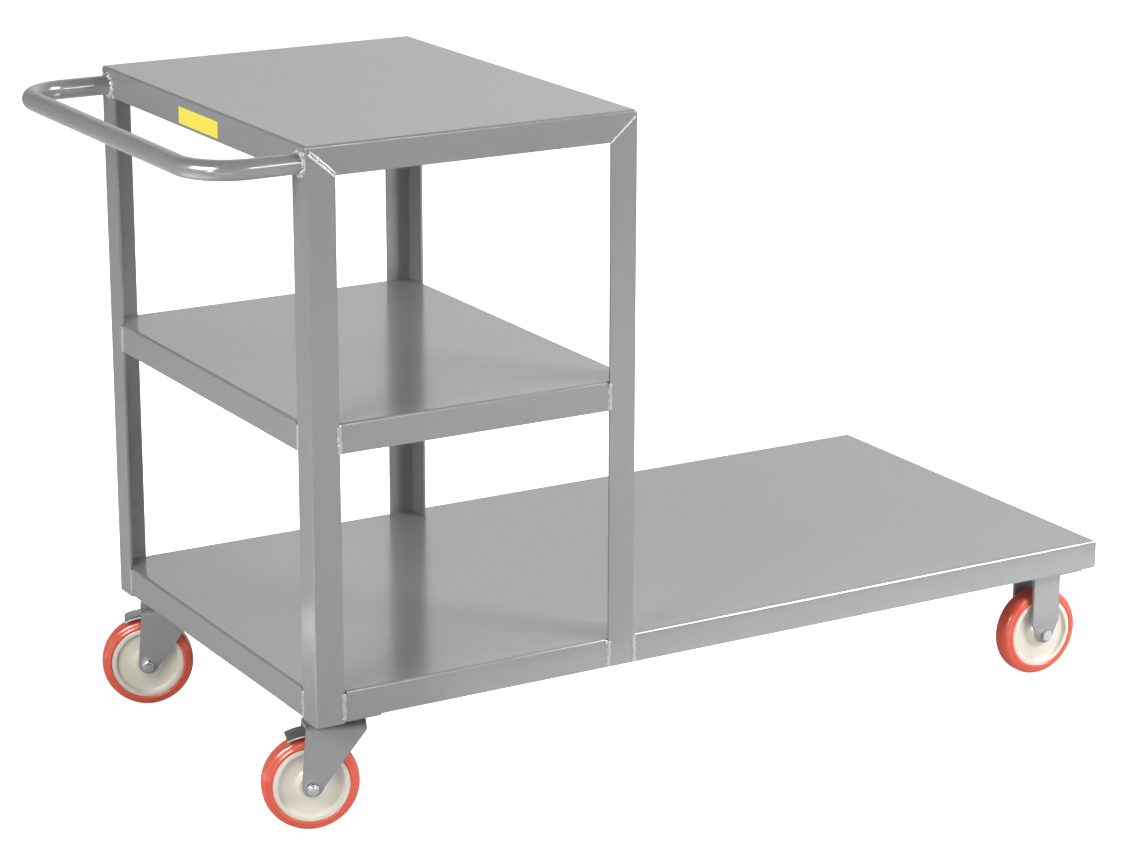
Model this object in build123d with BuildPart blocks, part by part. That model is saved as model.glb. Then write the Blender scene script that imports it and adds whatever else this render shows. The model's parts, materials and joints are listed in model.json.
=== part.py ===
from build123d import *
from math import cos, radians, sin
import os

os.makedirs("parts", exist_ok=True)

# Platform truck of welded steel: a long deck, a two-shelf tower and a push handle over its rear
# end, two braked swivel casters at the rear and two rigid casters at the front. Millimetres.
# +X runs from the push handle to the open end of the deck and +Z up. The origin is on the floor,
# below the middle of the overall length and width. Right is -Y and left is +Y.

# Sheet-steel deck and shelves, with their lips turned down
deck_length = 1219.2
deck_width = 609.6
tower_length = 457.2
shelf_pitch = 344.5
sheet = 2.66
lip = 38.1
bend_radius = 3.5
relief_width = 3.0
relief_depth = 8.0
relief_inset = 4.0

# Angle-iron posts
angle_leg = 38.1
angle_wall = 3.2
heel_radius = 2.5
rear_post_drop = 3.6
weld_gap = 0.3

# Push handle of bent tube
tube_diameter = 25.4
tube_wall = 2.1
handle_reach = 127.0
handle_drop = 23.0
handle_bend = 63.5

# Channels across the underside of the deck, and the bolts that hold the casters to them
channel_width = 90.0
channel_wall = 4.0
plate_bolt_diameter = 7.94
plate_bolt_flats = 12.7
plate_bolt_head = 5.3
plate_nut_height = 6.75
plate_bolt_stub = 3.0
bolt_hole_play = 0.45
bolt_pitch_x = 60.3
bolt_pitch_y = 44.45

# Where the casters stand, measured in from the deck's ends and sides
swivel_inset = 49.0
rigid_inset = 63.0
side_inset = 52.0

# Caster plates, and the swivel race below the rear ones
plate_width = 90.0
plate_length = 95.25
plate_wall = 4.0
plate_corner = 6.0
ball_diameter = 6.35
ball_count = 12
ball_gap = 0.3
groove_depth = 0.35
race_radius = 13.5
cup_radius = 24.0
cup_depth = 8.5
kingpin_diameter = 12.7
kingpin_head_diameter = 22.0
kingpin_top_head = 3.2
kingpin_lower_head = 4.0
head_clearance = 1.5
swivel_gap = 0.3
running_fit = 0.05

# Wheels: a moulded core with a bonded tread
wheel_diameter = 125.0
tread_width = 31.75
rim_diameter = 98.5
rim_lip = 6.0
rim_inset = 0.6
bond_gap = 0.05
web_width = 13.0
hub_diameter = 32.0
hub_foot = 7.0
web_fillet = 6.0
hub_length = 38.1
shoulder_width = 7.4
shoulder_height = 6.5
sidewall_height = 5.0
sidewall_step = 1.7

# Axles
axle_diameter = 9.525
axle_flats = 14.29
axle_head = 6.2
axle_nut_height = 8.3
axle_stub = 1.6
axle_play = 0.2
sleeve_diameter = 12.7
hub_play = 0.5

# Swivel forks
trail = 31.6
swivel_yaw_right = -19.0
swivel_yaw_left = -22.5
tyre_gap = 13.5
crown_wall = 3.5
crown_bend = 3.5
crown_half_length = 39.5
crown_corner = 10.0
leg_half_length = 38.5
leg_strip = 6.0
axle_boss = 12.7

# Rigid forks
rigid_wall = 4.8
rigid_leg_width = 44.6
rigid_taper = 18.0
rigid_boss = 12.4

# Brake pedals over the rear wheels
shoe_gap = 4.0
pedal_wall = 2.0
pedal_width = 36.0
pedal_pivot_angle = 30.0
pedal_tip_angle = 26.0
brake_pin_diameter = 5.0
eye_wall = 2.5

# Levels and places that follow from the sizes above
wheel_radius = wheel_diameter / 2
crown_underside = wheel_diameter + tyre_gap
crown_top = crown_underside + crown_wall
race_gap = ball_diameter + 2 * ball_gap - 2 * groove_depth
ball_level = crown_top + race_gap / 2
plate_bottom = crown_top + race_gap + cup_depth
plate_top = plate_bottom + plate_wall
deck_top = plate_top + lip
middle_top = deck_top + shelf_pitch
shelf_top = middle_top + shelf_pitch
mitre_top = shelf_top - bend_radius
rear_x = (handle_reach + tube_diameter / 2 - deck_length) / 2
front_x = rear_x + deck_length
tower_x = rear_x + tower_length
side_y = deck_width / 2
caster_y = side_y - side_inset
swivel_x = rear_x + swivel_inset
rigid_x = front_x - rigid_inset
fork_inside = hub_length / 2 + hub_play
plate_hole = plate_bolt_diameter / 2 + bolt_hole_play
shoe_radius = wheel_radius + shoe_gap
eye_radius = brake_pin_diameter / 2 + eye_wall

# Each post's heel, and the way its two flanges run from there
sides = {"right": -1, "left": 1}
post_heels = {}
for side, sign in sides.items():
    post_heels[f"rear_{side}"] = (rear_x, sign * side_y, 1, -sign)
    post_heels[f"front_{side}"] = (tower_x, sign * side_y, -1, -sign)


def pan(length, top):
    """Sheet-steel pan with its lips turned down, from the rear end forward."""
    with BuildPart() as body:
        with BuildSketch(Plane.XY.offset(top - lip)):
            with Locations((rear_x + length / 2, 0)):
                Rectangle(length, deck_width)
        extrude(amount=lip)
        fillet(body.edges().group_by(Axis.Z)[-1] + body.edges().filter_by(Axis.Z), bend_radius)
        with BuildSketch(Plane.XY.offset(top - lip)):
            with Locations((rear_x + length / 2, 0)):
                RectangleRounded(length - 2 * sheet, deck_width - 2 * sheet, bend_radius - sheet)
        extrude(amount=lip - sheet, mode=Mode.SUBTRACT)
    return body.part


def post_cuts(length, top):
    """What the posts take out of a pan: slots a weld gap wide all round, notched corners below the
    sheet, and a relief at the top of each lip where it stops beside a post."""
    slot_long = angle_leg + 2 * weld_gap
    slot_short = angle_wall + 2 * weld_gap
    relief = angle_leg + weld_gap + relief_width / 2
    with BuildPart() as cuts:
        for heel_x, heel_y, into_x, into_y in post_heels.values():
            middle_x = heel_x + into_x * angle_leg / 2
            middle_y = heel_y + into_y * angle_leg / 2
            with BuildSketch(Plane.XY.offset(top - lip)):
                with Locations((middle_x, heel_y + into_y * angle_wall / 2)):
                    Rectangle(slot_long, slot_short)
                with Locations((heel_x + into_x * angle_wall / 2, middle_y)):
                    Rectangle(slot_short, slot_long)
            extrude(amount=lip)
            with BuildSketch(Plane.XY.offset(top - lip)):
                with Locations((middle_x, middle_y)):
                    Rectangle(slot_long, slot_long)
            extrude(amount=lip - sheet)
            with BuildSketch(Plane.XY.offset(top - relief_depth)):
                with Locations((heel_x + into_x * relief, heel_y)):
                    Rectangle(relief_width, 2 * relief_inset)
                if heel_x in (rear_x, rear_x + length):
                    with Locations((heel_x, heel_y + into_y * relief)):
                        Rectangle(2 * relief_inset, relief_width)
            extrude(amount=relief_depth)
    return cuts.part


def angle_post(heel_x, heel_y, into_x, into_y, bottom, hollow=True):
    """Angle-iron post, heel outward, its top cut on a slant to meet the top shelf's lips. Not
    hollow, it is the corner that the top shelf leaves for it."""
    slope = (lip - bend_radius) / angle_leg
    with BuildPart() as body:
        with BuildSketch(Plane.XY.offset(bottom)) as section:
            with Locations((heel_x + into_x * angle_leg / 2, heel_y + into_y * angle_leg / 2)):
                Rectangle(angle_leg, angle_leg)
            if hollow:
                inner = (angle_leg + angle_wall) / 2
                with Locations((heel_x + into_x * inner, heel_y + into_y * inner)):
                    Rectangle(angle_leg - angle_wall, angle_leg - angle_wall, mode=Mode.SUBTRACT)
            fillet(section.vertices().sort_by_distance((heel_x, heel_y, 0))[0], heel_radius)
        extrude(amount=mitre_top - bottom)
        mitre = Plane((heel_x, heel_y, mitre_top), z_dir=(slope * into_x, slope * into_y, 1))
        split(bisect_by=mitre, keep=Keep.BOTTOM)
    return body.part


def caster_channel(centre_x, centre_hole):
    """Channel across the deck, open side up, drilled for a caster plate at each end."""
    length = deck_width - 2 * (angle_wall + weld_gap)
    with BuildPart() as body:
        with BuildSketch(Plane.XY.offset(plate_top)):
            with Locations((centre_x, 0)):
                Rectangle(channel_width, length)
        extrude(amount=lip - sheet)
        fillet(body.edges().filter_by(Axis.Y).group_by(Axis.Z)[0], channel_wall)
        with BuildSketch(Plane.XY.offset(plate_top + channel_wall)):
            with Locations((centre_x, 0)):
                Rectangle(channel_width - 2 * channel_wall, length)
        extrude(amount=lip, mode=Mode.SUBTRACT)
        with BuildSketch(Plane.XY.offset(plate_top)):
            with Locations((centre_x, -caster_y), (centre_x, caster_y)):
                with GridLocations(bolt_pitch_x, bolt_pitch_y, 2, 2):
                    Circle(plate_hole)
                if centre_hole:
                    Circle(centre_hole / 2)
        extrude(amount=channel_wall, mode=Mode.SUBTRACT)
    return body.part


def caster_plate(centre_x, centre_y, kingpin_hole):
    """Caster top plate, the rear ones with a race cup below, bored for a kingpin and grooved."""
    with BuildPart() as body:
        with BuildSketch(Plane((centre_x, centre_y, plate_bottom))):
            RectangleRounded(plate_width, plate_length, plate_corner)
            with GridLocations(bolt_pitch_x, bolt_pitch_y, 2, 2):
                Circle(plate_hole, mode=Mode.SUBTRACT)
            if kingpin_hole:
                Circle(kingpin_hole / 2, mode=Mode.SUBTRACT)
        extrude(amount=plate_wall)
        if kingpin_hole:
            with BuildSketch(Plane((centre_x, centre_y, plate_bottom - cup_depth))):
                Circle(cup_radius)
                Circle(kingpin_hole / 2, mode=Mode.SUBTRACT)
            extrude(amount=cup_depth)
            with Locations((centre_x, centre_y, ball_level)):
                Torus(race_radius, ball_diameter / 2 + ball_gap, mode=Mode.SUBTRACT)
    return body.part


def wheel_core(axle):
    """Moulded wheel core: hub, dished web and rim, turned about the axle."""
    rim_edge = tread_width / 2 - rim_inset
    rim = rim_diameter / 2
    hub = hub_diameter / 2
    bore = sleeve_diameter / 2 + running_fit
    half_profile = [
        (bore, hub_length / 2),
        (hub, hub_length / 2),
        (hub + hub_foot, web_width / 2),
        (rim - 2 * rim_lip, web_width / 2),
        (rim - rim_lip, rim_edge),
        (rim, rim_edge),
    ]
    other_half = [(across, -along) for across, along in reversed(half_profile)]
    with BuildPart() as body:
        with BuildSketch(Plane(axle.origin, x_dir=axle.x_dir, z_dir=axle.y_dir)):
            with BuildLine():
                Polyline(*half_profile, *other_half, close=True)
            make_face()
        revolve(axis=Axis(axle.origin, axle.z_dir))
        rings = body.edges().filter_by(GeomType.CIRCLE)
        feet = rings.filter_by(lambda ring: round(ring.radius - hub - hub_foot, 3) == 0)
        fillet(feet, web_fillet)
    return body.part


def wheel_tread(axle):
    """Tread bonded to the core, with a raised sidewall band and round shoulders."""
    inner = rim_diameter / 2 + bond_gap
    edge = tread_width / 2
    shoulder = wheel_radius - shoulder_height
    half_profile = [
        (inner, edge - rim_inset),
        (inner + sidewall_height - rim_inset, edge),
        (inner + sidewall_height, edge - sidewall_step),
        (shoulder, edge - sidewall_step),
        (wheel_radius, edge - shoulder_width),
    ]
    other_half = [(across, -along) for across, along in reversed(half_profile)]
    with BuildPart() as body:
        with BuildSketch(Plane(axle.origin, x_dir=axle.x_dir, z_dir=axle.y_dir)):
            with BuildLine():
                Polyline(*half_profile, *other_half, close=True)
            make_face()
        revolve(axis=Axis(axle.origin, axle.z_dir))
        rings = body.edges().filter_by(GeomType.CIRCLE)
        shoulders = rings.filter_by(lambda ring: round(ring.radius - shoulder, 3) >= 0)
        fillet(shoulders, shoulder_height / 2)
    return body.part


def axle_sleeve(axle):
    """Steel sleeve that the wheel turns on, held between the fork's legs."""
    with BuildPart() as body:
        with BuildSketch(axle):
            Circle(sleeve_diameter / 2)
            Circle(axle_diameter / 2 + axle_play, mode=Mode.SUBTRACT)
        extrude(amount=fork_inside, both=True)
    return body.part


def axle_bolt(axle, grip, nut_side):
    """Hex bolt through the fork and sleeve, its head on the side away from the nut."""
    with BuildPart() as body:
        with BuildSketch(axle.offset(-nut_side * grip)):
            RegularPolygon(axle_flats / 2, 6, major_radius=False)
        extrude(amount=-nut_side * axle_head)
        with BuildSketch(axle.offset(-nut_side * grip)):
            Circle(axle_diameter / 2)
        extrude(amount=nut_side * (2 * grip + axle_nut_height + axle_stub))
        ends = body.edges().sort_by(Axis(axle.origin, axle.z_dir * nut_side))
        chamfer(ends[-1], axle_stub / 2)
    return body.part


def axle_nut(axle, grip, nut_side):
    """Hex nut against the outside of the fork's leg."""
    with BuildPart() as body:
        with BuildSketch(axle.offset(nut_side * grip)):
            RegularPolygon(axle_flats / 2, 6, major_radius=False)
            Circle(axle_diameter / 2 + running_fit, mode=Mode.SUBTRACT)
        extrude(amount=nut_side * axle_nut_height)
    return body.part


def swivel_fork(base, axle, pin):
    """Stamped fork: a rolled crown with a ball groove, and two legs that lean back to the axle."""
    leg_outside = fork_inside + crown_wall
    crown_rise = crown_top - wheel_radius
    with BuildPart() as body:
        with BuildSketch(Plane(base.origin, x_dir=base.y_dir, z_dir=base.x_dir)):
            with BuildLine():
                FilletPolyline(
                    (leg_outside, 0),
                    (leg_outside, crown_top),
                    (-leg_outside, crown_top),
                    (-leg_outside, 0),
                    radius=crown_bend + crown_wall,
                )
                offset(amount=crown_wall, side=Side.LEFT)
            make_face()
        extrude(amount=crown_half_length + trail, both=True)
        with BuildSketch(axle):
            Circle(axle_boss)
            with Locations((trail, crown_rise - leg_strip / 2)):
                Rectangle(2 * leg_half_length, leg_strip)
            make_hull()
        extrude(amount=2 * leg_outside, both=True, mode=Mode.INTERSECT)
        with BuildSketch(base.offset(crown_underside)):
            tongue = 2 * (leg_outside - crown_wall - crown_bend)
            RectangleRounded(2 * crown_half_length, tongue, crown_corner)
        extrude(amount=crown_wall)
        with BuildSketch(axle):
            Circle(axle_diameter / 2 + axle_play)
            with Locations(pin):
                Circle(brake_pin_diameter / 2 + running_fit)
        extrude(amount=2 * leg_outside, both=True, mode=Mode.SUBTRACT)
        with BuildSketch(base.offset(crown_underside)):
            Circle(kingpin_diameter / 2 + running_fit)
        extrude(amount=crown_wall, mode=Mode.SUBTRACT)
        with Locations(base.offset(ball_level)):
            Torus(race_radius, ball_diameter / 2 + ball_gap, mode=Mode.SUBTRACT)
    return body.part


def rigid_fork(axle):
    """Fork of thick plate, bent to a square arch and welded under its caster plate."""
    outside = fork_inside + rigid_wall
    rise = plate_bottom - wheel_radius
    with BuildPart() as body:
        with BuildSketch(axle):
            Circle(rigid_boss)
            with Locations((0, (rise + rigid_taper) / 2)):
                Rectangle(rigid_leg_width, rise - rigid_taper)
            make_hull()
            Circle(axle_diameter / 2 + axle_play, mode=Mode.SUBTRACT)
        extrude(amount=outside, both=True)
        corners = body.edges().filter_by(Axis(axle.origin, axle.x_dir)).group_by(Axis.Z)[-1]
        fillet(corners, rigid_wall)
        with BuildSketch(axle):
            with Locations((0, rise - rigid_wall)):
                Rectangle(2 * rigid_leg_width, 2 * plate_bottom, align=(Align.CENTER, Align.MAX))
        extrude(amount=fork_inside, both=True, mode=Mode.SUBTRACT)
    return body.part


def brake_pedal(axle, pin):
    """Curved pedal and shoe over the tread, hung on the brake pin by a rolled eye."""
    start = 90 - pedal_pivot_angle
    sweep_angle = pedal_pivot_angle + pedal_tip_angle
    outer = shoe_radius + pedal_wall
    with BuildPart() as body:
        with BuildSketch(axle):
            with BuildLine():
                under = CenterArc((0, 0), shoe_radius, start, sweep_angle)
                over = CenterArc((0, 0), outer, start, sweep_angle)
                Line(under @ 0, over @ 0)
                Line(under @ 1, over @ 1)
            make_face()
            with Locations(pin):
                Circle(eye_radius)
                Circle(brake_pin_diameter / 2 + running_fit, mode=Mode.SUBTRACT)
        extrude(amount=pedal_width / 2, both=True)
    return body.part


def write(part, label):
    """Name a finished piece and write its file."""
    part.label = label
    export_step(part, f"parts/{label}.step")


# Posts: the rear pair runs a little below the deck's lips
for place, (heel_x, heel_y, into_x, into_y) in post_heels.items():
    drop = rear_post_drop if into_x > 0 else 0.0
    write(angle_post(heel_x, heel_y, into_x, into_y, plate_top - drop), f"post_{place}")

# Deck and middle shelf: pans slotted for the posts
with BuildPart() as deck:
    add(pan(deck_length, deck_top))
    add(post_cuts(deck_length, deck_top), mode=Mode.SUBTRACT)
write(deck.part, "deck")

with BuildPart() as middle_shelf:
    add(pan(tower_length, middle_top))
    add(post_cuts(tower_length, middle_top), mode=Mode.SUBTRACT)
write(middle_shelf.part, "middle_shelf")

# Top shelf: its lips are cut back on the slant where the posts come up inside them
with BuildPart() as top_shelf:
    add(pan(tower_length, shelf_top))
    for heel_x, heel_y, into_x, into_y in post_heels.values():
        corner = angle_post(heel_x, heel_y, into_x, into_y, shelf_top - lip, hollow=False)
        add(corner, mode=Mode.SUBTRACT)
write(top_shelf.part, "top_shelf")

# Push handle: a bent tube butted against the rear posts below the top shelf
with BuildPart() as push_handle:
    bar_x = rear_x - handle_reach
    leg_y = side_y - angle_leg / 2
    with BuildLine(Plane.XY.offset(shelf_top - handle_drop)) as route:
        FilletPolyline(
            (rear_x, -leg_y),
            (bar_x, -leg_y),
            (bar_x, leg_y),
            (rear_x, leg_y),
            radius=handle_bend,
        )
    with BuildSketch(Plane(route.line @ 0, z_dir=route.line % 0)):
        Circle(tube_diameter / 2)
        Circle(tube_diameter / 2 - tube_wall, mode=Mode.SUBTRACT)
    sweep()
write(push_handle.part, "push_handle")

# Channels under the deck; the rear one has room for the kingpins' heads
kingpin_head_hole = kingpin_head_diameter + 2 * head_clearance
write(caster_channel(swivel_x, kingpin_head_hole), "caster_channel_rear")
write(caster_channel(rigid_x, 0), "caster_channel_front")

# Caster bolts, heads below the plates and nuts inside the channels
caster_points = [(x, y) for x in (swivel_x, rigid_x) for y in (-caster_y, caster_y)]
nut_level = plate_top + channel_wall
with BuildPart() as plate_bolts:
    with BuildSketch(Plane.XY.offset(plate_bottom)):
        with Locations(*caster_points):
            with GridLocations(bolt_pitch_x, bolt_pitch_y, 2, 2):
                RegularPolygon(plate_bolt_flats / 2, 6, major_radius=False)
    extrude(amount=-plate_bolt_head)
    with BuildSketch(Plane.XY.offset(plate_bottom)):
        with Locations(*caster_points):
            with GridLocations(bolt_pitch_x, bolt_pitch_y, 2, 2):
                Circle(plate_bolt_diameter / 2)
    extrude(amount=nut_level - plate_bottom + plate_nut_height + plate_bolt_stub)
write(plate_bolts.part, "plate_bolts")

with BuildPart() as plate_nuts:
    with BuildSketch(Plane.XY.offset(nut_level)):
        with Locations(*caster_points):
            with GridLocations(bolt_pitch_x, bolt_pitch_y, 2, 2):
                RegularPolygon(plate_bolt_flats / 2, 6, major_radius=False)
                Circle(plate_bolt_diameter / 2 + running_fit, mode=Mode.SUBTRACT)
    extrude(amount=plate_nut_height)
write(plate_nuts.part, "plate_nuts")

# Swivel casters, each turned to its own angle, with the nut on the right of the wheel
for side, yaw in (("right", swivel_yaw_right), ("left", swivel_yaw_left)):
    centre_y = sides[side] * caster_y
    forward = Vector(cos(radians(yaw)), sin(radians(yaw)), 0)
    base = Plane((swivel_x, centre_y, 0), x_dir=forward, z_dir=(0, 0, 1))
    wheel_centre = base.from_local_coords((-trail, 0, wheel_radius))
    axle = Plane(wheel_centre, x_dir=forward, z_dir=-base.y_dir)
    pivot_radius = shoe_radius + eye_radius
    pivot_turn = radians(pedal_pivot_angle)
    pin = (pivot_radius * sin(pivot_turn), pivot_radius * cos(pivot_turn))
    grip = fork_inside + crown_wall

    write(caster_plate(swivel_x, centre_y, kingpin_diameter + 2 * running_fit), f"swivel_plate_{side}")

    lower_head = crown_underside - swivel_gap - kingpin_lower_head
    with BuildPart() as kingpin:
        with BuildSketch(base.offset(lower_head)):
            Circle(kingpin_head_diameter / 2)
        extrude(amount=kingpin_lower_head)
        fillet(kingpin.edges().group_by(Axis.Z)[0], kingpin_lower_head / 2)
        with BuildSketch(base.offset(lower_head)):
            Circle(kingpin_diameter / 2)
        extrude(amount=plate_top - lower_head)
        with BuildSketch(base.offset(plate_top)):
            Circle(kingpin_head_diameter / 2)
        extrude(amount=kingpin_top_head)
    write(kingpin.part, f"kingpin_{side}")

    with BuildPart() as race_balls:
        with Locations(base.offset(ball_level)):
            with PolarLocations(race_radius, ball_count):
                Sphere(ball_diameter / 2)
    write(race_balls.part, f"race_balls_{side}")

    write(swivel_fork(base, axle, pin), f"swivel_fork_{side}")
    write(axle_sleeve(axle), f"swivel_sleeve_{side}")
    write(axle_bolt(axle, grip, 1), f"swivel_axle_{side}")
    write(axle_nut(axle, grip, 1), f"swivel_nut_{side}")
    write(wheel_core(axle), f"swivel_core_{side}")
    write(wheel_tread(axle), f"swivel_tread_{side}")

    with BuildPart() as brake_pin:
        with BuildSketch(axle):
            with Locations(pin):
                Circle(brake_pin_diameter / 2)
        extrude(amount=grip, both=True)
    write(brake_pin.part, f"brake_pin_{side}")
    write(brake_pedal(axle, pin), f"brake_pedal_{side}")

# Rigid casters, the bolt's head on the right of the wheel
for side, sign in sides.items():
    axle = Plane((rigid_x, sign * caster_y, wheel_radius), x_dir=(1, 0, 0), z_dir=(0, -1, 0))
    grip = fork_inside + rigid_wall
    write(caster_plate(rigid_x, sign * caster_y, 0), f"rigid_plate_{side}")
    write(rigid_fork(axle), f"rigid_fork_{side}")
    write(axle_sleeve(axle), f"rigid_sleeve_{side}")
    write(axle_bolt(axle, grip, -1), f"rigid_axle_{side}")
    write(axle_nut(axle, grip, -1), f"rigid_nut_{side}")
    write(wheel_core(axle), f"rigid_core_{side}")
    write(wheel_tread(axle), f"rigid_tread_{side}")
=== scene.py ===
import json
import random
from math import cos, pi, radians, sin

import bpy
from mathutils import Matrix, Vector


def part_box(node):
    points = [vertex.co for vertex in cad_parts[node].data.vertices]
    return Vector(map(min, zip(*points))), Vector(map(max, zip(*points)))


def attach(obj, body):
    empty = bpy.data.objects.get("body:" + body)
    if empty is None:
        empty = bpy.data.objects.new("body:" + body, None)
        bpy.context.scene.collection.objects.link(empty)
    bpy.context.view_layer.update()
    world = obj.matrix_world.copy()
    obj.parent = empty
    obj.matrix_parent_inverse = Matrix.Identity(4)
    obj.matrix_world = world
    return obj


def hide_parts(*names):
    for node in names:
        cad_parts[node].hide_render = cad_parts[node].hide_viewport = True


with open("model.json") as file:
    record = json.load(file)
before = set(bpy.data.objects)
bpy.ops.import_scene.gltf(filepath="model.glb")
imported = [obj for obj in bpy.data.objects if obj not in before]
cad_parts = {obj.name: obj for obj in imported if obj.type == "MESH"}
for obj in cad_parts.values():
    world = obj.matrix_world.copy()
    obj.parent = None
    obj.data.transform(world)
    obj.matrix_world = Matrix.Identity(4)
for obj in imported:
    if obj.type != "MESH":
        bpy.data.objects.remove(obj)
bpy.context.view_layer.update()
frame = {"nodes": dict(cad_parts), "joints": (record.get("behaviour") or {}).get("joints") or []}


# Deck: one pan of sheet steel with its lips bent down, slotted for the four
# posts. The whole truck is sprayed with grey enamel and baked after welding,
# which leaves a fine fleck and a slight orange peel.
deck_low, deck_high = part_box("deck")
noise_middle = 0.5
# The two inputs and the output of a Mix node that mixes colours.
mix_base, mix_tone, mix_result = 6, 7, 2


def wire(tree, source, output, target, socket):
    """Join one node's output to another's input."""
    tree.links.new(source.outputs[output], target.inputs[socket])


def shader_node(tree, kind, inputs=None, **settings):
    """Add a node with its settings and its unlinked inputs."""
    node = tree.nodes.new(kind)
    for key, value in settings.items():
        setattr(node, key, value)
    for socket, value in (inputs or {}).items():
        node.inputs[socket].default_value = value
    return node


def new_group(name, inputs, outputs):
    """Start a node group with named sockets, and return it with its two ends."""
    group = bpy.data.node_groups.new(name, "ShaderNodeTree")
    for direction, sockets in (("INPUT", inputs), ("OUTPUT", outputs)):
        for socket, kind in sockets.items():
            group.interface.new_socket(socket, in_out=direction, socket_type="NodeSocket" + kind)
    return group, group.nodes.new("NodeGroupInput"), group.nodes.new("NodeGroupOutput")


def noises(group, *settings):
    """Noise textures on the piece's own coordinates, one for each set of inputs."""
    place = shader_node(group, "ShaderNodeTexCoord")
    textures = []
    for inputs in settings:
        texture = shader_node(group, "ShaderNodeTexNoise", inputs)
        wire(group, place, "Object", texture, "Vector")
        textures.append(texture)
    return textures


def about_zero(group, noise):
    """A noise's value shifted to swing about zero."""
    swing = shader_node(group, "ShaderNodeMath", {1: noise_middle}, operation="SUBTRACT")
    wire(group, noise, "Fac", swing, 0)
    return swing


def mottled(group, swing, given, amount):
    """One plus a noise's swing times the given amount."""
    tone = shader_node(group, "ShaderNodeMath", {2: 1.0}, operation="MULTIPLY_ADD")
    wire(group, swing, 0, tone, 0)
    wire(group, given, amount, tone, 1)
    return tone


def tint(group, given, colour, tone, result):
    """Multiply the given colour by a tone and put it out as the group's colour."""
    mix = shader_node(group, "ShaderNodeMix", {"Factor": 1.0}, data_type="RGBA", blend_type="MULTIPLY")
    wire(group, given, colour, mix, mix_base)
    wire(group, tone, 0, mix, mix_tone)
    wire(group, mix, mix_result, result, "Color")


def uneven_gloss(group, given, noise, spread, result):
    """Add a noise to the given dullness and put it out as the group's roughness."""
    gloss = shader_node(group, "ShaderNodeMath", {1: spread}, operation="MULTIPLY_ADD")
    wire(group, noise, 0, gloss, 0)
    wire(group, given, "Dullness", gloss, 2)
    wire(group, gloss, 0, result, "Roughness")


def paint_skin_group():
    """Sprayed enamel: fine fleck and slow drift in the colour, uneven gloss and orange peel."""
    group, given, result = new_group(
        "paint_skin",
        {"Paint": "Color", "Fleck": "Float", "Dullness": "Float"},
        {"Color": "Color", "Roughness": "Float", "Height": "Float"},
    )
    fleck, drift, peel = noises(
        group,
        {"Scale": 620.0, "Detail": 2.0, "Roughness": 0.6},
        {"Scale": 4.5, "Detail": 2.0},
        {"Scale": 210.0, "Detail": 1.0},
    )
    drift_amount, gloss_spread = 0.09, 0.16
    fleck_swing = about_zero(group, fleck)
    flecked = mottled(group, fleck_swing, given, "Fleck")
    tone = shader_node(group, "ShaderNodeMath", {1: drift_amount}, operation="MULTIPLY_ADD")
    wire(group, about_zero(group, drift), 0, tone, 0)
    wire(group, flecked, 0, tone, 2)
    tint(group, given, "Paint", tone, result)
    uneven_gloss(group, given, fleck_swing, gloss_spread, result)
    wire(group, peel, "Fac", result, "Height")
    return group


def skinned(name, skin_group, given, grain=0.0, grain_depth=0.0):
    """A material on one of the shared skins, with a raised grain where it has one, and its shader."""
    material = bpy.data.materials.new(name)
    material.use_nodes = True
    tree = material.node_tree
    shader = tree.nodes["Principled BSDF"]
    skin = shader_node(tree, "ShaderNodeGroup", given, node_tree=skin_group)
    wire(tree, skin, "Color", shader, "Base Color")
    wire(tree, skin, "Roughness", shader, "Roughness")
    if grain:
        bump = shader_node(tree, "ShaderNodeBump", {"Strength": grain, "Distance": grain_depth})
        wire(tree, skin, "Height", bump, "Height")
        wire(tree, bump, "Normal", shader, "Normal")
    return material, shader


paint_skin = paint_skin_group()
peel_depth, enamel_shine = 0.0004, 0.75


def enamel(name, paint, dullness, fleck, peel):
    """Baked enamel of one shade on the shared sprayed skin."""
    given = {"Paint": (*paint, 1.0), "Fleck": fleck, "Dullness": dullness}
    material, shader = skinned(name, paint_skin, given, peel, peel_depth)
    shader.inputs["Specular IOR Level"].default_value = enamel_shine
    return material


def dress(material, *names):
    """Give CAD nodes one material in place of their own."""
    for name in names:
        mesh = frame["nodes"][name].data
        mesh.materials.clear()
        mesh.materials.append(material)


frame_grey = enamel("frame_grey", (0.232, 0.236, 0.239), dullness=0.17, fleck=0.34, peel=0.06)
dress(frame_grey, "deck")


# Posts: four lengths of angle iron, heel outward, let into slots of the deck
# and cut on a slant at the top to meet the top shelf's lips. Same enamel.
sides = {"right": -1, "left": 1}
post_names = [f"post_{end}_{side}" for end in ("rear", "front") for side in sides]
dress(frame_grey, *post_names)
posts = {name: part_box(name) for name in post_names}


# Middle and top shelves: short pans bent up like the deck, slotted over the
# posts or mitred to them. Same enamel as the deck.
dress(frame_grey, "middle_shelf", "top_shelf")


# Push handle: one length of round steel tube, bent twice on a mandrel, its
# ends butted against the rear posts and welded all round. Same enamel.
handle_low, handle_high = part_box("push_handle")
tube_radius = (handle_high.z - handle_low.z) / 2
handle_level = (handle_low.z + handle_high.z) / 2
handle_bend = 0.0635
grip_x = handle_low.x + tube_radius
leg_y = handle_high.y - tube_radius
leg_run = handle_high.x - grip_x - handle_bend
bar_run = 2 * (leg_y - handle_bend)
tube_facets, bend_steps = 56, 28
tube_sharp_angle = radians(40)


def extend(along_x, along_y):
    """Draw the selected end of the tube out straight."""
    bpy.ops.mesh.extrude_region_move(TRANSFORM_OT_translate={"value": (along_x, along_y, 0)})


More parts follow.
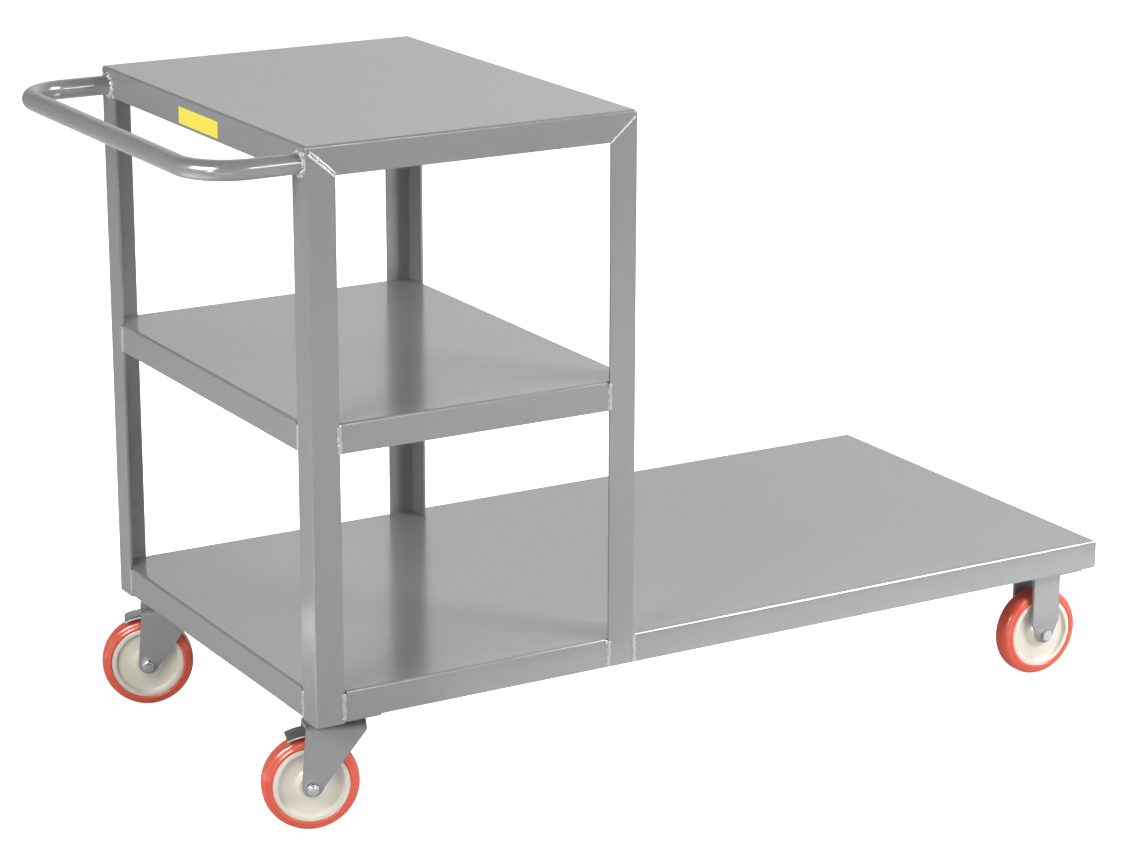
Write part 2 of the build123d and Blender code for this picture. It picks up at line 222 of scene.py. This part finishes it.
def bend(centre_y):
    """Sweep the selected end of the tube round a quarter turn."""
    bpy.ops.mesh.spin(
        steps=bend_steps, angle=pi / 2, axis=(0, 0, 1),
        center=(grip_x + handle_bend, centre_y, handle_level),
    )


def cap_ends():
    """Close the open ends of the mesh in edit mode, and leave all of it selected."""
    bpy.ops.mesh.select_all(action="DESELECT")
    bpy.ops.mesh.select_non_manifold()
    bpy.ops.mesh.edge_face_add()
    bpy.ops.mesh.select_all(action="SELECT")


bpy.ops.object.select_all(action="DESELECT")
bpy.ops.mesh.primitive_circle_add(
    vertices=tube_facets,
    radius=tube_radius,
    location=(handle_high.x, -leg_y, handle_level),
    rotation=(0, pi / 2, 0),
)
push_handle = bpy.context.object
push_handle.name = "push_handle_tube"
bpy.ops.object.transform_apply(location=True, rotation=True, scale=True)
bpy.ops.object.mode_set(mode="EDIT")
bpy.ops.mesh.select_all(action="SELECT")
extend(-leg_run, 0)
bend(-leg_y + handle_bend)
extend(0, bar_run)
bend(leg_y - handle_bend)
extend(leg_run, 0)
cap_ends()
bpy.ops.mesh.remove_doubles(threshold=1e-6)
bpy.ops.mesh.normals_make_consistent(inside=False)
bpy.ops.object.mode_set(mode="OBJECT")
bpy.ops.object.shade_smooth_by_angle(angle=tube_sharp_angle)
push_handle.data.materials.append(frame_grey)
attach(push_handle, "frame")
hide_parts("push_handle")


# Weld beads: runs of filler wire along the seams between lips and posts, the
# slanted seams of the top shelf and round the handle's ends. They are laid by
# hand as overlapping puddles and sprayed over with the frame's enamel. Their
# grey is lighter than the frame's, a painted highlight, and the slanted ones
# are painted near white, a stronger painted highlight.
# Painted highlight: the beads' enamel is a lighter grey than the frame's.
bead_grey_with_painted_highlight = enamel("bead_grey_with_painted_highlight", (0.37, 0.375, 0.38), dullness=0.10, fleck=0.45, peel=0.05)
# Painted highlight: the slanted beads' paint is near white, standing in for their shine.
bead_white_painted_highlight = enamel("bead_white_painted_highlight", (0.60, 0.61, 0.62), dullness=0.10, fleck=0.60, peel=0.05)
bead_voxel, bead_smoothing, puddle_subdivisions = 0.00045, 2, 3


def add_puddle(location, scale, rotation=(0, 0, 0)):
    """One drop of filler."""
    bpy.ops.object.select_all(action="DESELECT")
    bpy.ops.mesh.primitive_ico_sphere_add(
        subdivisions=puddle_subdivisions, location=location, rotation=rotation, scale=scale,
    )
    return bpy.context.object


def joined(pieces, name):
    """Join pieces into the first of them, under one name."""
    bpy.ops.object.select_all(action="DESELECT")
    for piece in pieces:
        piece.select_set(True)
    bpy.context.view_layer.objects.active = pieces[0]
    bpy.ops.object.join()
    whole = bpy.context.object
    whole.name = name
    return whole


def melt(puddles, name, skin):
    """Join overlapping puddles into one bead with a smooth, lumpy skin."""
    bead = joined(puddles, name)
    bpy.ops.object.transform_apply(location=True, rotation=True, scale=True)
    bpy.ops.object.modifier_add(type="REMESH")
    bead.modifiers[-1].mode = "VOXEL"
    bead.modifiers[-1].voxel_size = bead_voxel
    bpy.ops.object.modifier_apply(modifier=bead.modifiers[-1].name)
    bpy.ops.object.modifier_add(type="SMOOTH")
    bead.modifiers[-1].iterations = bead_smoothing
    bpy.ops.object.modifier_apply(modifier=bead.modifiers[-1].name)
    bpy.ops.object.shade_smooth()
    bead.data.materials.append(skin)
    return bead


def straight_bead(name, length, width, height, count, seed, skin, rows=(0.0,)):
    """One run along X from the origin, in one or more rows, standing out of the sheet along Z."""
    draw = random.Random(seed)
    pitch = length / count
    puddles = []
    for row in rows:
        for step in range(count):
            along = pitch * (step + 0.5 + draw.uniform(-0.2, 0.2))
            across = row + width * draw.uniform(-0.1, 0.1)
            half_length = pitch * draw.uniform(0.75, 1.05)
            half_width = width / 2 * draw.uniform(0.8, 1.1)
            rise = height * draw.uniform(0.7, 1.15)
            puddles.append(add_puddle((along, across, 0), (half_length, half_width, rise)))
    return melt(puddles, name, skin)


def copy_at(master, name, place):
    """A copy of a master piece with its own mesh, moved to its place in the mesh."""
    piece = bpy.data.objects.new(name, master.data.copy())
    bpy.context.scene.collection.objects.link(piece)
    piece.data.transform(place)
    return piece


def lay(master, length, name, start, end, out):
    """A copy of a straight bead along a seam, standing out of the face that it lies on."""
    start, end, out = Vector(start), Vector(end), Vector(out)
    run = (end - start) / length
    across = out.cross(end - start).normalized()
    place = Matrix.Translation(start) @ Matrix((run, across, out)).transposed().to_4x4()
    return copy_at(master, name, place)


upright_length = 0.029
uprights = [
    straight_bead(
        f"upright_{seed}", upright_length, width=0.0064, height=0.0016, count=12, seed=seed, skin=bead_grey_with_painted_highlight,
    )
    for seed in (3, 8, 21)
]
mitre_length = 0.0505
wide_mitre = straight_bead(
    "mitre_wide", mitre_length, width=0.0031, height=0.0016, count=22, seed=5, skin=bead_white_painted_highlight,
    rows=(-0.00195, 0.00195),
)
fine_mitre = straight_bead(
    "mitre_fine", mitre_length, width=0.0030, height=0.0014, count=24, seed=13, skin=bead_white_painted_highlight,
)
tower_front = posts["post_front_right"][1].x
tower_rear = deck_low.x
flange = posts["post_rear_right"][1].x - tower_rear
lip_depth = deck_high.z - deck_low.z

relief_depth, foot_clear, edge_clear = 0.008, 0.001, 0.0035
lip_tops = {"deck_welds": deck_high.z, "middle_shelf_welds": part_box("middle_shelf")[1].z}
seam_groups = {group: [] for group in lip_tops}
for group, top in lip_tops.items():
    low, high = top - lip_depth + foot_clear, top - relief_depth / 2
    for side, sign in sides.items():
        face_y = sign * deck_high.y
        end_y = face_y - sign * flange
        runs = [
            ((tower_rear + flange, face_y), (0, sign, 0), high),
            ((tower_front - flange, face_y), (0, sign, 0), high),
            ((tower_rear, end_y), (-1, 0, 0), high),
        ]
        if group == "deck_welds":
            runs.append(((tower_front, face_y), (0, sign, 0), top - edge_clear))
        else:
            runs.append(((tower_front, end_y), (1, 0, 0), high))
        for number, ((x, y), out, reach) in enumerate(runs):
            master = uprights[(number + len(seam_groups[group])) % len(uprights)]
            ends = [(x, y, low), (x, y, reach)]
            if number % 2:
                ends.reverse()
            bead = lay(master, upright_length, f"{group}_{side}_{number}", *ends, out)
            seam_groups[group].append(bead)

heel_gap, heel_drop, foot_rise, foot_inset = 0.0045, 0.0038, 0.0008, 0.0006
top_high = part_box("top_shelf")[1].z
mitre_heel = posts["post_rear_right"][1].z - heel_drop
mitre_foot = top_high - lip_depth + foot_rise
foot = flange - foot_inset
mitre_beads = []
for sign in sides.values():
    face_y = sign * deck_high.y
    for heel_x, into, master in ((tower_rear, 1, wide_mitre), (tower_front, -1, fine_mitre)):
        heel = (heel_x + into * heel_gap, face_y, mitre_heel)
        ends = [heel, (heel_x + into * foot, face_y, mitre_foot)]
        mitre_beads.append(lay(master, mitre_length, "mitre_side", *ends, (0, sign, 0)))
        heel = (heel_x, face_y - sign * heel_gap, mitre_heel)
        ends = [(heel_x, face_y - sign * foot, mitre_foot), heel]
        mitre_beads.append(lay(fine_mitre, mitre_length, "mitre_end", *ends, (-into, 0, 0)))
seam_groups["top_shelf_welds"] = mitre_beads

# Each row of the handle's collar: how far it stands off the tube, its height
# along the tube and its spread over the post.
collar_rows = ((0.0007, 0.0035, 0.0027), (0.0035, 0.0014, 0.0020))
collar_count, collar_wander, collar_turn = 22, 0.0005, 0.7
draw = random.Random(17)
collar_puddles = []
for clear, rise, spread in collar_rows:
    for step in range(collar_count):
        turn = 2 * pi * (step + draw.uniform(-0.3, 0.3)) / collar_count
        reach = tube_radius + clear + draw.uniform(-collar_wander, collar_wander)
        size = [half * draw.uniform(0.75, 1.25) for half in (rise, spread, spread)]
        collar_puddles.append(add_puddle((0, reach * cos(turn), reach * sin(turn)), size, (turn, 0, 0)))
collar = melt(collar_puddles, "collar", bead_grey_with_painted_highlight)
seam_groups["handle_welds"] = []
for side, sign in sides.items():
    handle_end = Matrix.Translation((tower_rear, sign * leg_y, handle_level))
    place = handle_end @ Matrix.Rotation(sign * collar_turn, 4, "X")
    seam_groups["handle_welds"].append(copy_at(collar, f"handle_weld_{side}", place))

for master in (*uprights, wide_mitre, fine_mitre, collar):
    bpy.data.objects.remove(master)
for group, beads in seam_groups.items():
    welds = joined(beads, group)
    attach(welds, "frame")


# Label: a plain strip of yellow vinyl with nothing on it, stuck to the middle
# of the top shelf's rear lip.
label_length, label_height, label_film = 0.116, 0.0215, 0.00025
label_drop, label_corner, corner_steps = 0.0236, 0.0012, 4
yellow_vinyl = enamel("yellow_vinyl", (0.90, 0.74, 0.07), dullness=0.30, fleck=0.06, peel=0.05)
bpy.ops.object.select_all(action="DESELECT")
bpy.ops.mesh.primitive_plane_add(
    size=1, location=(tower_rear, 0, top_high - label_drop), rotation=(0, -pi / 2, 0),
)
label = bpy.context.object
label.name = "blank_label"
label.scale = (label_height, label_length, 1)
bpy.ops.object.transform_apply(location=True, rotation=True, scale=True)
bpy.ops.object.mode_set(mode="EDIT")
bpy.ops.mesh.select_all(action="SELECT")
bpy.ops.mesh.bevel(offset=label_corner, segments=corner_steps, affect="VERTICES")
bpy.ops.mesh.select_all(action="SELECT")
bpy.ops.mesh.extrude_region_move(TRANSFORM_OT_translate={"value": (-label_film, 0, 0)})
bpy.ops.mesh.select_all(action="SELECT")
bpy.ops.mesh.normals_make_consistent(inside=False)
bpy.ops.object.mode_set(mode="OBJECT")
label.data.materials.append(yellow_vinyl)
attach(label, "frame")


# Caster channels, plates and their bolts: rolled channel across the deck's
# underside, stamped plates below it, and zinc-plated hex bolts and nuts.
def zinc_plate_group():
    """Zinc plate: cloudy brightness and fine scratches left by handling."""
    group, given, result = new_group(
        "zinc_plate",
        {"Plate": "Color", "Dullness": "Float"},
        {"Color": "Color", "Roughness": "Float"},
    )
    cloud, scratch = noises(
        group,
        {"Scale": 90.0, "Detail": 4.0},
        {"Scale": 900.0, "Detail": 2.0, "Distortion": 1.5},
    )
    cloud_range = {"From Min": 0.3, "From Max": 0.7, "To Min": 0.86, "To Max": 1.06}
    scratch_spread = 0.22
    tone = shader_node(group, "ShaderNodeMapRange", cloud_range)
    wire(group, cloud, "Fac", tone, "Value")
    tint(group, given, "Plate", tone, result)
    uneven_gloss(group, given, scratch, scratch_spread, result)
    return group


zinc_plate = zinc_plate_group()


def plated(name, plate, dullness):
    """Plated steel of one shade."""
    material, shader = skinned(name, zinc_plate, {"Plate": (*plate, 1.0), "Dullness": dullness})
    shader.inputs["Metallic"].default_value = 1.0
    return material


caster_grey = enamel("caster_grey", (0.262, 0.266, 0.270), dullness=0.22, fleck=0.34, peel=0.06)
bright_zinc = plated("bright_zinc", (0.64, 0.65, 0.67), dullness=0.12)
dress(frame_grey, "caster_channel_rear", "caster_channel_front")
dress(bright_zinc, "plate_bolts", "plate_nuts")
for side in sides:
    dress(caster_grey, f"swivel_plate_{side}", f"rigid_plate_{side}")


# Caster forks: thick plate bent to a U. The rear ones turn on a ball race and
# are held by a kingpin. Grey enamel, as on the brake pins; the kingpins, balls
# and axle sleeves are zinc plated.
for side in sides:
    dress(caster_grey, f"swivel_fork_{side}", f"rigid_fork_{side}", f"brake_pin_{side}")
    dress(bright_zinc, f"kingpin_{side}", f"race_balls_{side}")
    dress(bright_zinc, f"swivel_sleeve_{side}", f"rigid_sleeve_{side}")


# Wheels: a moulded core in cream plastic with a polyurethane tread cast round
# it. Both are turned shapes: the tread has a raised sidewall band and round
# shoulders, the core a rim, a dished web and a hub. Sizes in millimetres.
joints = {joint["name"]: joint for joint in frame["joints"]}
mm_in_metre = 1000
grain_depth = 0.0002
turned_round_angle, turned_sharp_angle = radians(22), radians(35)


def moulded_skin_group():
    """Moulded plastic: slow clouds in the colour, uneven gloss and a soft grain."""
    group, given, result = new_group(
        "moulded_skin",
        {"Plastic": "Color", "Mottle": "Float", "Dullness": "Float"},
        {"Color": "Color", "Roughness": "Float", "Height": "Float"},
    )
    cloud, grain = noises(group, {"Scale": 28.0, "Detail": 3.0}, {"Scale": 480.0, "Detail": 2.0})
    gloss_spread = 0.10
    tone = mottled(group, about_zero(group, cloud), given, "Mottle")
    tint(group, given, "Plastic", tone, result)
    uneven_gloss(group, given, grain, gloss_spread, result)
    wire(group, grain, "Fac", result, "Height")
    return group


moulded_skin = moulded_skin_group()


def moulded(name, plastic, mottle, dullness, grain):
    """Moulded plastic of one colour on the shared skin."""
    given = {"Plastic": (*plastic, 1.0), "Mottle": mottle, "Dullness": dullness}
    return skinned(name, moulded_skin, given, grain, grain_depth)[0]


def outline_loop(name, points):
    """A closed loop of edges through points in millimetres."""
    bpy.ops.object.select_all(action="DESELECT")
    bpy.ops.mesh.primitive_circle_add(vertices=len(points))
    loop = bpy.context.object
    loop.name = name
    for vertex, point in zip(loop.data.vertices, points):
        vertex.co = [value / mm_in_metre for value in point]
    return loop


def round_edges(piece, width, segments, angle):
    """Round off the edges of the active piece that turn by more than an angle."""
    bpy.ops.object.modifier_add(type="BEVEL")
    rounding = piece.modifiers[-1]
    rounding.width = width / mm_in_metre
    rounding.segments = segments
    rounding.limit_method = "ANGLE"
    rounding.angle_limit = angle
    bpy.ops.object.modifier_apply(modifier=rounding.name)


def turned(name, outline, rounding=0, steps=120):
    """A piece turned about the Y axis from (radius, along) points."""
    piece = outline_loop(name, [(across, along, 0) for across, along in outline])
    bpy.ops.object.mode_set(mode="EDIT")
    bpy.ops.mesh.select_all(action="SELECT")
    bpy.ops.mesh.spin(steps=steps, angle=2 * pi, center=(0, 0, 0), axis=(0, 1, 0))
    bpy.ops.mesh.select_all(action="SELECT")
    bpy.ops.mesh.remove_doubles(threshold=1e-5)
    bpy.ops.mesh.delete_loose(use_verts=True, use_edges=True, use_faces=False)
    bpy.ops.mesh.select_all(action="SELECT")
    bpy.ops.mesh.normals_make_consistent(inside=False)
    bpy.ops.object.mode_set(mode="OBJECT")
    if rounding:
        round_edges(piece, rounding, segments=3, angle=turned_round_angle)
    bpy.ops.object.shade_smooth_by_angle(angle=turned_sharp_angle)
    return piece


def mirrored(half_outline):
    """An outline with its other half, mirrored across the wheel's middle plane."""
    return half_outline + [(across, -along) for across, along in reversed(half_outline) if along]


def place_at(joint_name):
    """Where a wheel turns: its axle along Y, with X forward and Z up."""
    joint = joints[joint_name]
    upright = Vector((0, 0, 1))
    axis = Vector(joint["axis"]).normalized()
    turn = Matrix((axis.cross(upright), axis, upright)).transposed()
    return Matrix.Translation(Vector(joint["pos_m"])) @ turn.to_4x4()


def fitted(master, name, place, body, material, replaced):
    """A copy of a master piece in its place on a body, in place of its plain solid."""
    piece = copy_at(master, name, place)
    piece.data.materials.clear()
    piece.data.materials.append(material)
    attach(piece, body)
    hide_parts(replaced)
    return piece


red_tread = moulded("red_tread", (0.75, 0.110, 0.064), mottle=0.12, dullness=0.05, grain=0.03)
cream_core = moulded("cream_core", (0.73, 0.69, 0.605), mottle=0.10, dullness=0.26, grain=0.06)
wheel_rounding = 0.5
sidewall_band = [(49.30, 15.20), (50.60, 15.75), (52.60, 15.85), (53.60, 15.30), (54.20, 14.45)]
shoulder_foot, shoulder_face = 55.2, 14.3
crown_radius, crown_half_width = 62.5, 3.2
shoulder_steps = 8
tread_outline = list(sidewall_band)
for step in range(shoulder_steps + 1):
    turn = pi / 2 * step / shoulder_steps
    across = shoulder_foot + (crown_radius - shoulder_foot) * sin(turn)
    along = crown_half_width + (shoulder_face - crown_half_width) * cos(turn)
    tread_outline.append((across, along))
tread_outline.append((crown_radius, 0.0))
hub_outline = [(6.40, 19.05), (11.50, 19.05), (12.20, 18.30), (14.60, 18.30), (16.00, 18.90)]
web_outline = [(18.60, 13.60), (20.60, 11.00), (23.60, 10.00), (40.20, 9.80), (41.60, 10.70)]
rim_outline = [(42.90, 14.70), (43.60, 15.30), (48.20, 15.30), (49.25, 14.60)]
tread_master = turned("tread", mirrored(tread_outline), wheel_rounding)
core_master = turned("core", mirrored(hub_outline + web_outline + rim_outline), wheel_rounding)
for kind in ("swivel", "rigid"):
    for side in sides:
        place = place_at(f"{kind}_roll_{side}")
        body = f"{kind}_wheel_{side}"
        tread_name, core_name = f"{kind}_wheel_tread_{side}", f"{kind}_wheel_core_{side}"
        fitted(tread_master, tread_name, place, body, red_tread, f"{kind}_tread_{side}")
        fitted(core_master, core_name, place, body, cream_core, f"{kind}_core_{side}")
bpy.data.objects.remove(tread_master)
bpy.data.objects.remove(core_master)


# Axles: zinc-plated hex bolts through the forks and wheels, with chamfered
# heads, rolled threads at the ends and chamfered hex nuts. Sizes in millimetres.
axle_flats, axle_radius, head_height, nut_height, stub = 14.29, 4.7625, 6.2, 8.3, 1.6
chamfer_share, chamfer_slope, chamfer_facets = 0.97, 1.73, 72
thread_pitch, thread_depth, thread_lead, thread_runout, end_chamfer = 0.8, 0.45, 2.0, 1.3, 0.9
fastener_sharp_angle = radians(30)


def hex_blank(name, height):
    """Hex head or nut along Y from the origin, its outer corners turned to a cone."""
    corner = axle_flats / 3 ** 0.5 / mm_in_metre
    depth = height / mm_in_metre
    stand = {"depth": depth, "location": (0, depth / 2, 0), "rotation": (-pi / 2, 0, 0)}
    bpy.ops.object.select_all(action="DESELECT")
    bpy.ops.mesh.primitive_cylinder_add(vertices=6, radius=corner, **stand)
    blank = bpy.context.object
    blank.name = name
    bpy.ops.object.transform_apply(location=True, rotation=True, scale=True)
    tip = axle_flats / 2 / mm_in_metre * chamfer_share
    foot_radius = tip + depth * chamfer_slope
    bpy.ops.object.select_all(action="DESELECT")
    bpy.ops.mesh.primitive_cone_add(vertices=chamfer_facets, radius1=foot_radius, radius2=tip, **stand)
    cone = bpy.context.object
    bpy.ops.object.transform_apply(location=True, rotation=True, scale=True)
    bpy.ops.object.select_all(action="DESELECT")
    blank.select_set(True)
    bpy.context.view_layer.objects.active = blank
    bpy.ops.object.modifier_add(type="BOOLEAN")
    chamfer = blank.modifiers[-1]
    chamfer.operation = "INTERSECT"
    chamfer.solver = "EXACT"
    chamfer.object = cone
    bpy.ops.object.modifier_apply(modifier=chamfer.name)
    bpy.data.objects.remove(cone)
    return blank


def axle_parts(grip):
    """Bolt with its head on the -Y side, and its nut on the +Y side, both about the axle's middle."""
    end = grip + nut_height + stub
    along = grip + nut_height - thread_lead
    outline = [(0.0, -grip), (axle_radius, -grip), (axle_radius, along)]
    while along < end - thread_runout:
        outline.append((axle_radius - thread_depth, along + thread_pitch / 2))
        outline.append((axle_radius, along + thread_pitch))
        along += thread_pitch
    outline += [(axle_radius - end_chamfer, end), (0.0, end)]
    shank = turned("shank", outline)
    head = hex_blank("head", head_height)
    head.data.transform(Matrix.Translation((0, -grip / mm_in_metre, 0)) @ Matrix.Rotation(pi, 4, "X"))
    bolt = joined([shank, head], "bolt")
    nut = hex_blank("nut", nut_height)
    nut.data.transform(Matrix.Translation((0, grip / mm_in_metre, 0)))
    for part in (bolt, nut):
        bpy.ops.object.select_all(action="DESELECT")
        part.select_set(True)
        bpy.context.view_layer.objects.active = part
        bpy.ops.object.shade_smooth_by_angle(angle=fastener_sharp_angle)
    return bolt, nut


# Each kind of axle: half its grip, the body that it rides on and the way it points.
axle_sets = (
    ("swivel", 23.05, "swivel_{}", Matrix.Rotation(pi, 4, "Z")),
    ("rigid", 24.35, "frame", Matrix.Identity(4)),
)
for kind, grip, body_name, flip in axle_sets:
    bolt_master, nut_master = axle_parts(grip)
    for side in sides:
        place = place_at(f"{kind}_roll_{side}") @ flip
        body = body_name.format(side)
        bolt_name, nut_name = f"{kind}_axle_bolt_{side}", f"{kind}_axle_nut_{side}"
        fitted(bolt_master, bolt_name, place, body, bright_zinc, f"{kind}_axle_{side}")
        fitted(nut_master, nut_name, place, body, bright_zinc, f"{kind}_nut_{side}")
    bpy.data.objects.remove(bolt_master)
    bpy.data.objects.remove(nut_master)


# Brake pedals: strip steel rolled to the tread's curve and hung on the brake
# pin by a rolled eye. Dull zinc plate, bright along the sheared edges. Sizes
# in millimetres.
shoe_radius, shoe_wall, shoe_half_width = 66.5, 2.0, 18.0
shoe_start, shoe_sweep, shoe_steps = radians(60), radians(56), 28
shoe_rounding, shoe_sharp_angle = 0.3, radians(40)
pin_radius, pin_reach = 2.55, 71.5
eye_radius, eye_half_length, eye_rounding, eye_steps = 5.0, 17.6, 0.4, 48
sheared_lean = 0.9
dull_zinc = plated("dull_zinc", (0.33, 0.335, 0.325), dullness=0.26)


def strip_section(inner, outer, half_length):
    """The corners of a flat section as (radius, along) points."""
    return [(inner, -half_length), (outer, -half_length), (outer, half_length), (inner, half_length)]


shoe_section = strip_section(shoe_radius, shoe_radius + shoe_wall, shoe_half_width)
shoe_corners = [(across * cos(shoe_start), along, across * sin(shoe_start)) for across, along in shoe_section]
shoe_strip = outline_loop("shoe", shoe_corners)
bpy.ops.object.mode_set(mode="EDIT")
bpy.ops.mesh.select_all(action="SELECT")
bpy.ops.mesh.spin(steps=shoe_steps, angle=shoe_sweep, center=(0, 0, 0), axis=(0, 1, 0))
cap_ends()
bpy.ops.mesh.normals_make_consistent(inside=False)
bpy.ops.object.mode_set(mode="OBJECT")
round_edges(shoe_strip, shoe_rounding, segments=2, angle=shoe_sharp_angle)
bpy.ops.object.shade_smooth_by_angle(angle=shoe_sharp_angle)

eye_section = strip_section(pin_radius, eye_radius, eye_half_length)
shoe_eye = turned("eye", eye_section, eye_rounding, eye_steps)
pin_x, pin_z = pin_reach * cos(shoe_start) / mm_in_metre, pin_reach * sin(shoe_start) / mm_in_metre
shoe_eye.data.transform(Matrix.Translation((pin_x, 0, pin_z)))
shoe_master = joined([shoe_strip, shoe_eye], "shoe")
for side in sides:
    place = place_at(f"swivel_roll_{side}")
    axle = place.to_3x3() @ Vector((0, 1, 0))
    shoe = fitted(
        shoe_master, f"brake_shoe_{side}", place, f"brake_{side}", dull_zinc, f"brake_pedal_{side}",
    )
    shoe.data.materials.append(bright_zinc)
    for face in shoe.data.polygons:
        face.material_index = int(abs(face.normal.dot(axle)) > sheared_lean)
bpy.data.objects.remove(shoe_master)


# Floor, lights and camera: a plain pale floor in a white room, lit by soft
# boxes at the front, the sides and the back, and seen from the height and side
# of a catalogue view.
floor_size = 60
bpy.ops.object.select_all(action="DESELECT")
bpy.ops.mesh.primitive_plane_add(size=floor_size, location=(0, 0, 0))
floor = bpy.context.object
floor.name = "floor"
floor_white = bpy.data.materials.new("floor_white")
floor_white.use_nodes = True
floor_tree = floor_white.node_tree
floor_shader = floor_tree.nodes["Principled BSDF"]
floor_shader.inputs["Base Color"].default_value = (0.8, 0.8, 0.8, 1)
floor_shader.inputs["Roughness"].default_value = 1.0
floor_shader.inputs["Specular IOR Level"].default_value = 0.0
floor_shader.inputs["Emission Color"].default_value = (1, 1, 1, 1)
floor_seen = shader_node(floor_tree, "ShaderNodeLightPath")
floor_glow = shader_node(floor_tree, "ShaderNodeMapRange", {"To Min": 0.0, "To Max": 1.0})
wire(floor_tree, floor_seen, "Is Camera Ray", floor_glow, "Value")
wire(floor_tree, floor_glow, "Result", floor_shader, "Emission Strength")
floor.data.materials.append(floor_white)

# The room's bright walls: the way to each one, how narrow its glow is and how
# strong. The camera itself sees the room white.
room_walls = {
    "back": ((0, 1, 0), 2.0, 0.40),
    "back_high": ((0.44, 0.745, 0.50), 14.0, 0.88),
    "right": ((1, 0, 0), 2.0, 1.10),
    "left_low": ((-0.985, 0, 0.17), 10.0, 2.00),
}
world = bpy.data.worlds.new("studio")
world.use_nodes = True
room = world.node_tree
room_light = room.nodes["Background"]
room_light.inputs["Color"].default_value = (1, 1, 1, 1)
room_place = shader_node(room, "ShaderNodeTexCoord")
walls_total = None
for wall, (facing, narrow, glow) in room_walls.items():
    lean = shader_node(room, "ShaderNodeVectorMath", {1: facing}, operation="DOT_PRODUCT")
    toward = shader_node(room, "ShaderNodeMath", {1: 0.0}, operation="MAXIMUM")
    share = shader_node(room, "ShaderNodeMath", {1: narrow}, operation="POWER")
    added = shader_node(room, "ShaderNodeMath", {1: glow, 2: 0.0}, operation="MULTIPLY_ADD")
    added.name = f"wall_{wall}"
    wire(room, room_place, "Generated", lean, 0)
    wire(room, lean, "Value", toward, 0)
    wire(room, toward, "Value", share, 0)
    wire(room, share, "Value", added, 0)
    if walls_total:
        wire(room, walls_total, "Value", added, 2)
    walls_total = added
room_seen = shader_node(room, "ShaderNodeLightPath")
room_level = shader_node(room, "ShaderNodeMath", operation="MAXIMUM")
wire(room, room_seen, "Is Camera Ray", room_level, 0)
wire(room, walls_total, "Value", room_level, 1)
wire(room, room_level, "Value", room_light, "Strength")
bpy.context.scene.world = world


def soft_box(name, place, target, width, height, watts, hidden_from=()):
    """A soft box aimed at a point, and the kinds of ray that don't see it."""
    light = bpy.data.lights.new(name, "AREA")
    light.shape = "RECTANGLE"
    light.size = width
    light.size_y = height
    light.energy = watts
    lamp = bpy.data.objects.new(name, light)
    bpy.context.scene.collection.objects.link(lamp)
    lamp.location = place
    lamp.rotation_euler = (Vector(target) - Vector(place)).to_track_quat("-Z", "Y").to_euler()
    for rays in hidden_from:
        setattr(lamp, f"visible_{rays}", False)


# Broad light. The key and the back fill leave no mirror image on the deck.
soft_box("key_right", (1.76, -2.35, 1.50), (0.25, -0.2, 0.3), 0.9, 1.2, 62, ["glossy"])
soft_box("back_fill", (1.00, 2.60, 1.30), (0.0, 0.2, 0.4), 1.2, 1.0, 26, ["glossy"])
soft_box("deck_edge", (1.35, -0.9, 2.05), (0.35, -0.3, 0.2), 0.9, 0.7, 12)
soft_box("left_window", (-2.25, -0.95, 1.65), (-0.5, -0.1, 0.5), 1.1, 1.0, 29)
soft_box("low_left", (-1.35, -1.55, 0.22), (-0.5, -0.1, 0.08), 0.7, 0.35, 2.4)

# Highlights on the tube, bends and treads, and a sheen on the deck as seen from behind.
soft_box("left_glint", (-2.30, -0.80, 1.68), (-0.5, -0.1, 0.5), 1.5, 0.8, 105, ["diffuse"])
soft_box("tread_glint", (-2.20, -1.30, 0.85), (-0.45, 0.0, 0.1), 0.35, 0.25, 8, ["diffuse"])
soft_box("front_glint", (0.45, -2.45, 1.65), (0.0, -0.2, 0.4), 0.8, 0.4, 18, ["diffuse"])
soft_box("bend_glint", (1.60, -0.9, 2.05), (0.45, -0.3, 0.2), 1.2, 0.8, 210, ["diffuse"])
soft_box("front_sheen", (0.0, -4.6, 1.0), (0.0, 0.0, 0.6), 7.0, 1.8, 36, ["diffuse", "camera"])

# Light thrown up by the floor.
soft_box("floor_front", (0.46, -0.56, 0.02), (0.46, -0.55, 1.0), 1.28, 0.26, 1.4, ["camera"])
soft_box("floor_rear", (-1.45, 0.0, 0.02), (-1.44, 0.0, 1.0), 0.9, 1.2, 7, ["camera"])

eye = Vector((-2.26216, -3.84585, 1.70547))
forward = Vector((0.4858978, 0.8272026, -0.2822042)).normalized()
rightward = Vector((0.8625521, -0.5059641, 0.0020463)).normalized()
upward = rightward.cross(forward)
camera = bpy.data.objects.new("camera", bpy.data.cameras.new("camera"))
camera.data.sensor_fit = "HORIZONTAL"
camera.data.sensor_width = 36.0
camera.data.lens = 108.04
camera.data.clip_end = 100.0
bpy.context.scene.collection.objects.link(camera)
camera.matrix_world = Matrix.Translation(eye) @ Matrix((rightward, upward, -forward)).transposed().to_4x4()
bpy.context.scene.camera = camera
bpy.context.scene.view_settings.view_transform = "Standard"
